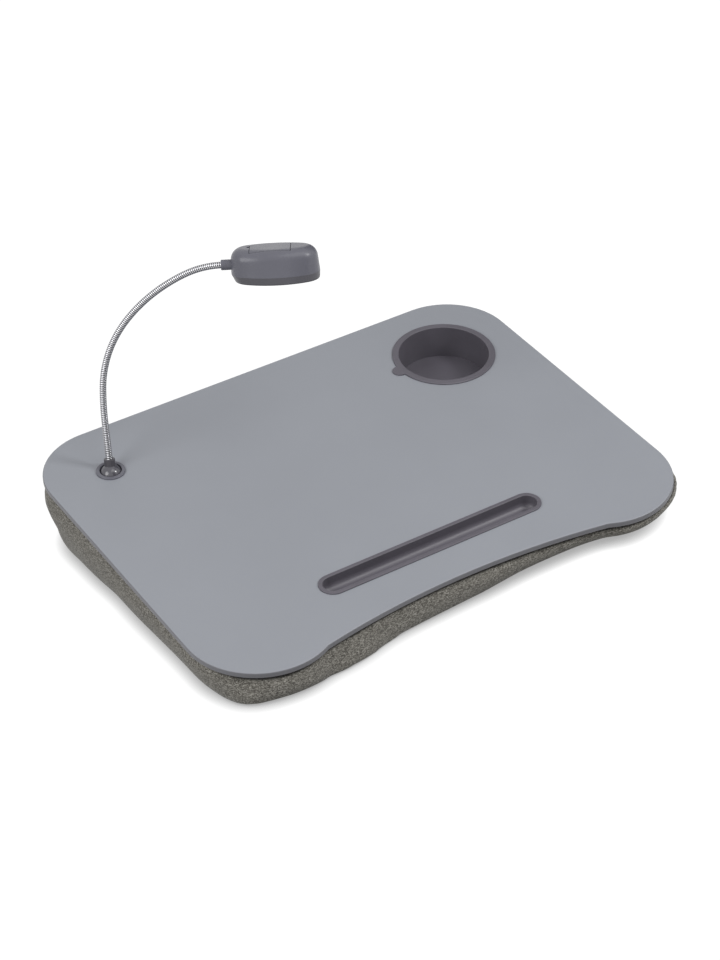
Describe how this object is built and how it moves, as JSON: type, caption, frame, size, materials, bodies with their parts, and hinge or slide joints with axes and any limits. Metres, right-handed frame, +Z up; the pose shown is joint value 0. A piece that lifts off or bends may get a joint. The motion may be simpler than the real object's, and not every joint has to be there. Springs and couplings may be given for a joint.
{
  "type": "lap tray with cushion",
  "caption": "Lap tray on a wedge-shaped bean cushion, with a belly cut, lift-out cup insert, pen trough and a battery lamp on a gooseneck.",
  "frame": {"origin": "on the floor under the middle of the board's outline", "axes": "+X to the sitter's right, +Y away from the sitter, +Z up"},
  "size_m": [0.43, 0.3302, 0.232],
  "materials": {
    "board_lacquer": "satin lacquered fibre board",
    "insert_plastic": "satin moulded plastic",
    "fleece": "heathered fleece",
    "lining_cloth": "woven lining",
    "beads": "loose foam beads",
    "lamp_plastic": "satin moulded plastic",
    "dark_plastic": "matt moulded plastic",
    "neck_steel": "bright plated steel hose",
    "spring_steel": "spring steel",
    "lens_clear": "clear moulded",
    "circuit": "white masked circuit board",
    "diode": "resin over a diode",
    "cell_can": "plain metal can",
    "button_rubber": "soft cap"
  },
  "bodies": {
    "tray": {"tray_board": "board_lacquer", "pen_tray": "insert_plastic", "cushion_cover": "fleece", "cushion_lining": "lining_cloth", "cushion_filling": "beads", "lamp_bezel": "lamp_plastic", "base_nut": "dark_plastic", "spring_washer": "spring_steel", "ball_retainer": "dark_plastic"},
    "cup": {"cup_insert": "insert_plastic"},
    "swivel": {"ball_seat": "dark_plastic"},
    "stem": {"lamp_ball": "lamp_plastic", "neck_span_1": "neck_steel"},
    "neck_2": {"neck_span_2": "neck_steel"},
    "neck_3": {"neck_span_3": "neck_steel"},
    "neck_4": {"neck_span_4": "neck_steel"},
    "neck_5": {"neck_span_5": "neck_steel"},
    "neck_6": {"neck_span_6": "neck_steel"},
    "head": {"neck_span_7": "neck_steel", "neck_sleeve": "lamp_plastic", "lamp_upper_shell": "lamp_plastic", "lamp_lower_bezel": "lamp_plastic", "lamp_lens": "lens_clear", "led_board": "circuit", "leds": "diode", "battery_tray": "dark_plastic", "battery_cells": "cell_can", "battery_contacts": "spring_steel", "switch_body": "dark_plastic"},
    "lid": {"battery_cover": "lamp_plastic"},
    "button": {"switch_button": "button_rubber"}
  },
  "joints": [
    {"name": "cup_lift", "type": "slide", "parent": "tray", "child": "cup", "axis": [0, -0.1219, 0.9925], "range_m": [0, 0.06]},
    {"name": "lamp_swivel", "type": "hinge", "parent": "tray", "child": "swivel", "pos_m": [-0.162, 0.10888, 0.0616], "axis": [0, -0.1219, 0.9925], "continuous": true},
    {"name": "lamp_tilt", "type": "hinge", "parent": "swivel", "child": "stem", "pos_m": [-0.162, 0.10931, 0.05813], "axis": [0.8434, -0.5333, -0.0655], "range_deg": [-7, 43]},
    {"name": "neck_bend_1", "type": "hinge", "parent": "stem", "child": "neck_2", "pos_m": [-0.15727, 0.11697, 0.10025], "axis": [0.511, 0.8338, -0.209], "range_deg": [-12, 8]},
    {"name": "neck_bend_2", "type": "hinge", "parent": "neck_2", "child": "neck_3", "pos_m": [-0.1526, 0.12134, 0.1291], "axis": [0.511, 0.8338, -0.209], "range_deg": [-12, 8]},
    {"name": "neck_bend_3", "type": "hinge", "parent": "neck_3", "child": "neck_4", "pos_m": [-0.14274, 0.12224, 0.15683], "axis": [0.511, 0.8338, -0.209], "range_deg": [-12, 8]},
    {"name": "neck_bend_4", "type": "hinge", "parent": "neck_4", "child": "neck_5", "pos_m": [-0.12617, 0.1181, 0.18083], "axis": [0.511, 0.8338, -0.209], "range_deg": [-12, 8]},
    {"name": "neck_bend_5", "type": "hinge", "parent": "neck_5", "child": "neck_6", "pos_m": [-0.10503, 0.10988, 0.1997], "axis": [0.511, 0.8338, -0.209], "range_deg": [-12, 8]},
    {"name": "neck_bend_6", "type": "hinge", "parent": "neck_6", "child": "head", "pos_m": [-0.0813, 0.09873, 0.21326], "axis": [0.511, 0.8338, -0.209], "range_deg": [-12, 8]},
    {"name": "lid_hinge", "type": "hinge", "parent": "head", "child": "lid", "pos_m": [-0.00808, 0.05792, 0.22948], "axis": [0.511, 0.8338, -0.209], "range_deg": [0, 95]},
    {"name": "switch_press", "type": "slide", "parent": "head", "child": "button", "axis": [0.1335, 0.1631, 0.9775], "range_m": [0, 0.0008], "stiffness_N_per_m": 600, "springref_m": -0.001}
  ],
  "couplings": [
    {"joint": "neck_bend_2", "follows": "neck_bend_1", "ratio": 1},
    {"joint": "neck_bend_3", "follows": "neck_bend_1", "ratio": 1},
    {"joint": "neck_bend_5", "follows": "neck_bend_4", "ratio": 1},
    {"joint": "neck_bend_6", "follows": "neck_bend_4", "ratio": 1}
  ]
}
